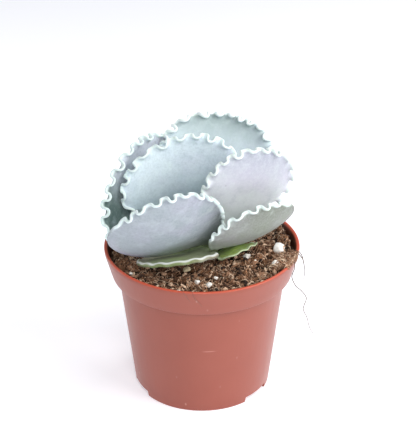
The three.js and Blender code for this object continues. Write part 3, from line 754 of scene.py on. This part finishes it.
stem_material, tree = new_material("stem skin")
place = add(tree, "TexCoord").outputs["Object"]
wrinkles = add(tree, "TexNoise", {"Vector": place, "Scale": 1 / (2.5 * MM), "Detail": 3.0})
colour = coated(tree, 0x6E7D55, [(wrinkles.outputs["Fac"], 0, 1, 1, 0x9CAA84)])
wrinkled = add(tree, "Bump", {"Height": wrinkles.outputs["Fac"], "Strength": 0.4, "Distance": 0.3 * MM})
finish_material(tree, {"Base Color": colour, "Roughness": 0.65, "Normal": wrinkled.outputs["Normal"]})


def stem_axis(height):
    """The stem's middle at a height over the soil."""
    return STEM_AT_SOIL + STEM_LEAN * height


level = np.linspace(STEM_LOW, STEM_TOP, 60)
turns = np.linspace(0, 2 * math.pi, STEM_SIDES, endpoint=False)
waist = STEM_RADIUS * (1 - 0.035 * (1 + np.sin(level * 1.3)))[:, None]
waist = waist * np.sqrt(np.clip((STEM_TOP + 0.5 - level) / 4, 0, 1))[:, None]
wrinkled = waist * (1 + 0.02 * np.sin(7 * turns + 0.3 * level[:, None]))
stem_rows = stem_axis(level[:, None])[:, None] + around_axis(wrinkled, turns, 0)
stem_ends = [
    np.repeat(stem_axis(end)[None, None], STEM_SIDES, axis=1) for end in (STEM_LOW, STEM_TOP)]
new_piece(
    "stem_fleshy", *closed_skin(np.concatenate([stem_ends[0], stem_rows, stem_ends[1]])), stem_material,
    "stem_skin", node="stem")

# Leaves: fleshy blades in crossed pairs, pale with a waxy bloom. Each one's outer 6 mm is crinkled like
# pie crust and ends in a white cord, the thick horny margin. The four oldest lie on the soil, greener
# because their bloom has worn off.
#
# Bearing, rise and roll turn a blade, cup curls it across and arch bends it along, in degrees. Node is its
# height on the stem over the soil. Heart, foot and cord are its half thickness in the middle, at the stem
# and round the margin. Flank is the power by which it widens from the foot. The strip along the margin
# turns up and down by crinkle degrees, and inward times further up, over the crinkled shares of the
# margin's length to either side of the tip. Its wave has a length in mm and a phase, and then how far the
# phase swings, the length of a swing in mm and the swing's own phase. The painted foot reach, the painted
# foot lean and the colours belong to leaf_skin; the second colour is painted light and shade near the
# foot. A cord line is white on the cord's inner side alone.
#
# The outline is drawn larger by the growth, because the crinkling draws it in. The roll comes in over the
# twist share of the length. A wave leans over by its overhang, and the points round the margin stand
# about a column spacing apart. Behind the cord the blade thins over NECK_EASE to a neck, NECK_SHARE as
# thick as the cord. Each side of the outline begins with the foot's own half width, over FOOT_PART of it.
WIDEST_AT = 0.58
FOOT_HALF_WIDTH = 3.6
FOOT_PART = 0.04
OUTLINE_STEPS = 6001
FADE_PART = 0.1
CROWN_POWER = 2.2
MARGIN_STRIP = 6
MARGIN_GROWTH = 1.3
MARGIN_HALF_THICKNESS = 0.62
TWIST_SHARE = 0.34
OVERHANG = 0.46
COLUMN_SPACING = 0.42
NECK_SHARE = 0.75
NECK_WIDTH = 1.1
NECK_EASE = 2.4
HORN_WIDTH = 2.6
ALL_ROUND = (-0.38, 0.38)
BLOOM_LEAF = dict(
    heart=1.7, foot=1.5, cord=0.78, flank=1, strip=MARGIN_STRIP, foot_half=FOOT_HALF_WIDTH,
    painted_foot_reach=0.5, crinkled=ALL_ROUND)
GREEN_LEAF = dict(
    heart=2.4, foot=1.9, cord=0.42, flank=1, strip=MARGIN_STRIP, foot_half=FOOT_HALF_WIDTH,
    painted_foot_reach=0.4, crinkled=ALL_ROUND, crinkle=14)
BUD_LEAF = dict(
    heart=1, foot=0.9, cord=0.5, flank=1, strip=1.6, painted_foot_reach=0.5, crinkled=ALL_ROUND, crinkle=30,
    cup=22, arch=12, node=23.2, colours=(0xC3D3CF, 0x9FB5A8, 0xC3D3CF, 0xB9CCC4, 0xE6F2EC, 0xC3D3CF))
LEAVES = {
    "leaf_low_right": dict(
        GREEN_LEAF, bearing=-36, rise=22, roll=-5, length=25, width=28, cup=-6, arch=6, node=4.6,
        heart=2.5, crinkle=10, wave=(9.5, 0.4, 0.4, 31, 0.8),
        colours=(0x98B444, 0x4A761A, 0x9AAC5C, 0x557E28, 0xBFD0A8, 0x98B444)),
    "leaf_low_left": dict(
        GREEN_LEAF, bearing=132, rise=8, roll=4, length=34, width=36, cup=6, arch=0, node=3.8,
        wave=(10.5, 1.9, 0.4, 37, 0.2),
        colours=(0x8E9E78, 0x6F8A52, 0x9C9A8A, 0x6C8A4C, 0xDDE5DA, 0x8E9E78)),
    "leaf_low_front": dict(
        GREEN_LEAF, bearing=-122, rise=4.8, roll=18.5, length=48.9, width=51.2, cup=8.1, arch=16.6,
        node=7.6, heart=2.3, foot=1.6, cord=1.4, cord_line=True, crinkle=8, flank=1.7,
        wave=(10.5, 0.9, 0.5, 43, 2.1), painted_foot_reach=0.6,
        colours=(0x8EA858, 0xB4C894, 0x806A6C, 0x3E5A1C, 0xDCE0DC, 0x74844E)),
    "leaf_low_back": dict(
        GREEN_LEAF, bearing=54, rise=12, roll=-6, length=42, width=44, cup=8, arch=4, node=7.8, foot=1.7,
        crinkle=16, wave=(10, 2.6, 0.5, 41, 1.1),
        colours=(0x97A888, 0x74905C, 0xA5A79A, 0x768F60, 0xDDE6DD, 0x97A888)),
    "leaf_front_right": dict(
        BLOOM_LEAF, bearing=-46, rise=17, roll=-11.5, length=61.5, width=56, cup=17, arch=55, node=9.8,
        cord=0.68, crinkle=46, crinkled=(-0.34, 0.12), wave=(9.4, 2.64, 0.4, 33, 1.2), painted_foot_reach=0.55,
        colours=(0x9CA69E, 0xD4E0DA, 0x9C9CA2, 0x868E82, 0xDFEDEA, 0x686E62)),
    "leaf_left": dict(
        BLOOM_LEAF, bearing=156, rise=12.5, roll=-27.5, length=81.5, width=82, cup=17, arch=88.5,
        node=9.8, flank=2.4, crinkle=62, crinkled=(-0.38, 0.27), wave=(10.9, 6.02, 0.7, 48, 3.04),
        painted_foot_reach=1.12, painted_foot_lean=1.3,
        colours=(0xCED6E2, 0x36544E, 0xEAE6F4, 0x98A6AB, 0xDDEDEC, 0xC6CEDA)),
    "leaf_front_left": dict(
        BLOOM_LEAF, bearing=-110, rise=15, roll=37, length=83, width=70, cup=28.5, arch=50.5, node=13.6,
        crinkle=64, crinkled=(-0.1, 0.42), wave=(9.6, 1.38, 0.4, 27, 0.3), painted_foot_reach=0.57,
        painted_foot_lean=0.16, colours=(0xB4C4C8, 0x283F20, 0xACAABE, 0x98A3AB, 0xDDEBEC, 0xA0AAB2)),
    "leaf_back": dict(
        BLOOM_LEAF, bearing=81.5, rise=60, roll=10, length=72.2, width=73.2, cup=31, arch=0, node=14.5,
        cord=0.95, flank=1.3, crinkle=76, inward=1.6, wave=(9, 4.71, 3, 75, 1.5), painted_foot_reach=0.6,
        colours=(0xDAE8F0, 0x84A09C, 0xCEDAE4, 0xB2C4C6, 0xECF8F8, 0x92A4A4)),
    "leaf_right": dict(
        BLOOM_LEAF, bearing=-36, rise=52, roll=-29, length=67.5, width=59, cup=9, arch=28, node=18.6,
        crinkle=64, wave=(9.4, 4.91, 0.42, 28, 0.26), painted_foot_reach=1.0,
        colours=(0xA6B0BE, 0xFAFEFF, 0xB9B3CB, 0xB6BDC6, 0xE6F2F0, 0x9CA2B0)),
    "leaf_centre": dict(
        BLOOM_LEAF, bearing=159, rise=66, roll=-58.5, length=60, width=74.5, cup=26, arch=15, node=18.9,
        flank=2.2, crinkle=62, inward=1.35, wave=(11, 0.57, 1, 58, 2.65), painted_foot_reach=0.9, painted_foot_lean=0.1,
        colours=(0xE4F2FA, 0x527278, 0xDAE2F0, 0xB8CCD4, 0xE8F8F8, 0xE0F0F8)),
    "bud_leaf_front": dict(
        BUD_LEAF, bearing=-118, rise=68, roll=0, length=13, width=10, foot_half=2.2, wave=(5, 0, 0, 20, 0)),
    "bud_leaf_back": dict(
        BUD_LEAF, bearing=50, rise=76, roll=0, length=11, width=9, foot_half=2, wave=(5, 1, 0, 20, 0)),
}


def leaf_skin(name, colours, painted_foot_reach, painted_foot_lean=0.0):
    """Leaf skin under its bloom, a matt wax that scatters the light, over watery flesh that lets a little
    of it through. The colours are its inner face, painted light and shade near its foot, the blush in
    patches and along the margin, its outer face, the cord, and the tip. The foot's colour is painted shade
    where it is darker than the face, as the leaves shade each other near the stem, and painted light where
    it is paler. It fades out at its reach, a share of the length, which the lean moves on from one side of
    the leaf to the other. The marks tell how far a point is from the margin in millimetres, its share of
    the leaf's length and of its half width, which face it is on, and how horny it is. The bloom is thumbed
    off in smudges of 7 mm, thicker between them, and powdery at 1.5 mm, which is coarser than its grains
    are."""
    face, foot, blush, outer, cord, tip = colours
    material, tree = new_material(name)
    place = add(tree, "TexCoord").outputs["Object"]
    edge, along, across, inner, horny = (
        add(tree, "Attribute", attribute_name=label).outputs["Fac"]
        for label in ("edge", "along", "across", "inner", "horny"))
    leaning = add(tree, "Math", {0: across, 1: painted_foot_lean, 2: along}, operation="MULTIPLY_ADD")
    patches, thumbed, powder, swell = (
        add(tree, "TexNoise", {
            "Vector": place, "Scale": 1 / (size * MM), "Detail": detail, "Roughness": roughness,
        }).outputs["Fac"]
        for size, detail, roughness in [(26, 2, 0.5), (7, 5, 0.6), (1.5, 5, 0.75), (5, 2, 0.5)])
    freckles = add(tree, "TexVoronoi", {"Vector": place, "Scale": 1 / (13 * MM)})
    colour = coated(tree, outer, [
        (inner, 0, 1, 1, face),
        (patches, 0.42, 0.66, 0.75, blush),
    ])
    colour = coated(tree, colour, [
        (edge, 9, 2, 0.45, blush),
        (along, 0.6, 0.98, 0.85, tip),
        # Painted light and shade near the foot: darker where the leaves shade each other, paler on some
        # leaves.
        (leaning.outputs["Value"], painted_foot_reach, 0.02, 0.95, foot),
    ], "SMOOTHSTEP")
    colour = coated(tree, colour, [
        (thumbed, 0.52, 0.72, 0.5, outer),
        (thumbed, 0.5, 0.3, 0.18, cord),
        (powder, 0.42, 0.7, 0.2, foot),
        (freckles.outputs["Distance"], 0.05, 0.025, 0.55, 0x52685C),
        (horny, 0, 1, 1, cord),
    ])
    dull = add(tree, "MapRange", {"Value": powder, "To Min": 0.52, "To Max": 0.74})
    swollen = add(tree, "Bump", {"Height": swell, "Strength": 0.25, "Distance": 0.5 * MM})
    powdery = add(tree, "Bump", {
        "Height": powder, "Strength": 0.3, "Distance": 0.12 * MM, "Normal": swollen.outputs["Normal"]})
    finish_material(tree, {
        "Base Color": colour, "Roughness": dull.outputs["Result"], "Specular IOR Level": 0.35,
        "Sheen Weight": 0.12, "Sheen Roughness": 0.6, "Subsurface Weight": 0.12,
        "Subsurface Radius": (0.8, 1.0, 0.6), "Subsurface Scale": 1.2 * MM,
        "Normal": powdery.outputs["Normal"]})
    return material


def blade_outline(leaf, columns):
    """Evenly spaced points of the flat outline, their distances along the margin from the tip, and its
    whole length. From the foot the half width grows by a power of the sine of a quarter turn up to the
    widest place, and beyond it follows the superellipse of power 2.2 to the tip."""
    length = leaf["length"] + MARGIN_GROWTH
    half = leaf["width"] / 2 + MARGIN_GROWTH
    t = np.linspace(0, 1, OUTLINE_STEPS)
    side = np.where(t < 0.5, 1, -1)
    share = np.where(t < 0.5, 2 * t, 2 * (1 - t))
    up = np.clip((share - FOOT_PART) / (0.5 - FOOT_PART), 0, 1)
    x = leaf["foot_half"] + (half - leaf["foot_half"]) * np.sin(math.pi / 2 * up) ** leaf["flank"]
    x = np.where(share < FOOT_PART, leaf["foot_half"] * share / FOOT_PART, x)
    angle = np.clip((share - 0.5) / 0.5, 0, 1) * math.pi / 2
    beyond = share >= 0.5
    x = np.where(beyond, half * np.clip(np.cos(angle), 0, 1) ** (2 / CROWN_POWER), x)
    y = length * WIDEST_AT * up
    y = np.where(beyond, length * (WIDEST_AT + (1 - WIDEST_AT) * np.sin(angle) ** (2 / CROWN_POWER)), y)
    line = np.stack([side * x, y], axis=-1)
    travelled = np.concatenate([[0], np.cumsum(np.linalg.norm(np.diff(line, axis=0), axis=1))])
    even = np.arange(columns) / columns * travelled[-1]
    points = np.stack([np.interp(even, travelled, line[:, k]) for k in (0, 1)], axis=-1)
    return points, even - travelled[-1] / 2, travelled[-1]


def margin_turn(leaf, distance, perimeter):
    """How far the margin strip turns up or down at each distance from the tip, in radians, the wave's
    phase, and how far the crinkle has faded in. The turn is a sine along the margin whose phase and size
    drift slowly. It fades out over FADE_PART at either end of the crinkled share, and it is multiplied by
    inward where it turns up."""
    wave, phase, swing, swing_length, swing_phase = leaf["wave"]
    start, end = leaf["crinkled"]
    share = distance / perimeter
    fade = smooth((share - start) / FADE_PART) * smooth((end - share) / FADE_PART)
    size = 0.95 + 0.3 * np.sin(2 * math.pi * distance / (2.7 * wave) + 1.3 + phase)
    drift = swing * np.sin(2 * math.pi * distance / swing_length + swing_phase)
    beat = 2 * math.pi * distance / wave + drift + phase
    inward = np.where(np.sin(beat) > 0, leaf.get("inward", 1), 1)
    angle = math.radians(leaf["crinkle"]) * fade * size * inward * np.sin(beat)
    return np.where(np.abs(angle) < 1e-3, 1e-3, angle), beat, fade


def seat_blade(leaf, points):
    """Cups a flat blade across on a cylinder, turns it level at its foot, bends it along on another, and
    sets it on the stem by its bearing, rise and roll."""
    bearing, rise, roll = (math.radians(leaf[key]) for key in ("bearing", "rise", "roll"))
    outward = np.array([math.cos(bearing), math.sin(bearing), 0])
    foot = stem_axis(leaf["node"]) + outward * (STEM_RADIUS + GAP + leaf["foot"] * math.sin(rise))
    along = outward * math.cos(rise) + np.array([0, 0, math.sin(rise)])
    upright = -outward * math.sin(rise) + np.array([0, 0, math.cos(rise)])
    face = upright * math.cos(roll) + np.cross(along, upright) * math.sin(roll)
    across = np.cross(along, face)
    x, y, z = np.moveaxis(points, -1, 0)
    cup_radius = leaf["width"] / 2 / math.radians(leaf["cup"])
    side = (cup_radius - z) * np.sin(x / cup_radius)
    lift = cup_radius - (cup_radius - z) * np.cos(x / cup_radius)
    twist = roll * (1 - smooth(y / (TWIST_SHARE * leaf["length"])))
    sideways = side * np.cos(twist) - lift * np.sin(twist)
    upwards = lift * np.cos(twist) + side * np.sin(twist)
    arch_radius = leaf["length"] / math.radians(leaf["arch"]) if leaf["arch"] else 1e6
    forward = (arch_radius - upwards) * np.sin(y / arch_radius)
    raised = arch_radius - (arch_radius - upwards) * np.cos(y / arch_radius)
    return foot + sideways[..., None] * across + forward[..., None] * along + raised[..., None] * face, face


def blade_surface(leaf):
    """Rows of points over a whole leaf and its marks. The rows run from the blade's middle out over the
    inner face, round the cord and back under the outer face, and each row is a loop along the margin.
    The middle layer is shaped first, then both faces stand off it by half the thickness, along its
    normal: full at the heart, thin behind the cord, and a half circle over the cord. The strip is an arc
    that is turned by margin_turn, and its waves lean over sideways by twice their phase. Horn covers the
    cord and a little behind it, or only a line on the inner side."""
    strip, cord = leaf["strip"], leaf["cord"]
    inner = np.linspace(0, 1, 15)
    lip = np.linspace(0, 1 - cord / strip, 13)[1:]
    over = np.linspace(0, math.pi / 2, 6)[1:]
    share_in = np.concatenate([inner, np.ones(len(lip) + len(over))])[:, None]
    share_out = np.concatenate([0 * inner, lip, 1 - cord / strip * (1 - np.sin(over))])[:, None]
    columns = 2 * round((2 * leaf["length"] + leaf["width"]) / 2 / COLUMN_SPACING)
    outline, distance, perimeter = blade_outline(leaf, columns)
    turn, beat, fade = margin_turn(leaf, distance, perimeter)
    middle = np.array([0, 0.92 * WIDEST_AT * (leaf["length"] + MARGIN_GROWTH)])
    ray = outline - middle
    reach = np.linalg.norm(ray, axis=1)
    out = share_in * (reach - strip) + strip / turn * np.sin(turn * share_out)
    up = strip / turn * (1 - np.cos(turn * share_out))
    flat = middle + out[..., None] * (ray / reach[:, None])
    tangent = np.roll(outline, -1, axis=0) - np.roll(outline, 1, axis=0)
    tangent /= np.linalg.norm(tangent, axis=1, keepdims=True)
    loop = leaf["wave"][0] / (2 * math.pi) * OVERHANG * math.radians(leaf["crinkle"])
    loop = -loop * np.sin(2 * beat) * fade
    flat = flat + (share_out**2 * loop)[..., None] * tangent
    layer, face = seat_blade(leaf, np.concatenate([flat, up[..., None]], axis=-1))
    around = np.roll(layer, -1, axis=1) - np.roll(layer, 1, axis=1)
    normal = np.cross(around, np.gradient(layer, axis=0))
    normal[0] = normal[1].mean(axis=0)
    normal /= np.linalg.norm(normal, axis=-1, keepdims=True)
    normal *= np.sign(np.sum(normal[5] @ face))
    thin = min(MARGIN_HALF_THICKNESS, leaf["foot"])
    edge_share = 0.88 * share_in + 0.12 * share_out
    foot_share = flat[..., 1] / (leaf["length"] + MARGIN_GROWTH)
    body = thin + (leaf["heart"] - thin) * (1 - edge_share**2.2)
    half = np.maximum(body, thin + (leaf["foot"] - thin) * smooth(1 - foot_share / 0.35))
    from_edge = (1 - share_out) * strip + (1 - share_in) * (reach - strip)
    neck = cord + NECK_WIDTH
    half = half + (NECK_SHARE * cord - half) * smooth((neck + NECK_EASE - from_edge) / NECK_EASE)
    half = half + (cord - half) * smooth((neck - from_edge) / NECK_WIDTH)
    half[-len(over):] = cord * np.cos(over)[:, None]
    grown = flat[..., 1] + 1.5
    half = half * smooth(grown / 1.2 + 0.4)
    stand_off = half[..., None] * normal
    rows = np.concatenate([layer + stand_off, (layer - stand_off)[-2::-1]])
    across_share = flat[..., 0] / (leaf["width"] / 2)
    horny = horny_outside = smooth(3 * fade) * smooth((HORN_WIDTH - from_edge) / 1.4)
    if "cord_line" in leaf:
        horny = smooth(3 * fade) * smooth((1.2 - from_edge) / 0.3) * smooth(from_edge / 0.12)
        horny_outside = 0 * horny
    marks = {
        "edge": np.concatenate([from_edge, from_edge[-2::-1]]),
        "along": np.concatenate([foot_share, foot_share[-2::-1]]),
        "across": np.concatenate([across_share, across_share[-2::-1]]),
        "inner": np.concatenate([np.ones_like(from_edge), np.zeros_like(from_edge[1:])]),
        "horny": np.concatenate([horny, horny_outside[-2::-1]]),
    }
    return rows, marks


for name, leaf in LEAVES.items():
    rows, marks = blade_surface(leaf)
    points, faces = closed_skin(rows)
    listed = {
        label: np.concatenate([values[0, :1], values[1:-1].ravel(), values[-1, :1]])
        for label, values in marks.items()}
    slot = "green_leaf" if name.startswith("leaf_low") else "bloomed_leaf"
    skin = leaf_skin(f"{name} skin", leaf["colours"], leaf["painted_foot_reach"], leaf.get("painted_foot_lean", 0.0))
    new_piece(name.replace("leaf", "blade"), points, faces, skin, slot, node=name, marks=listed)
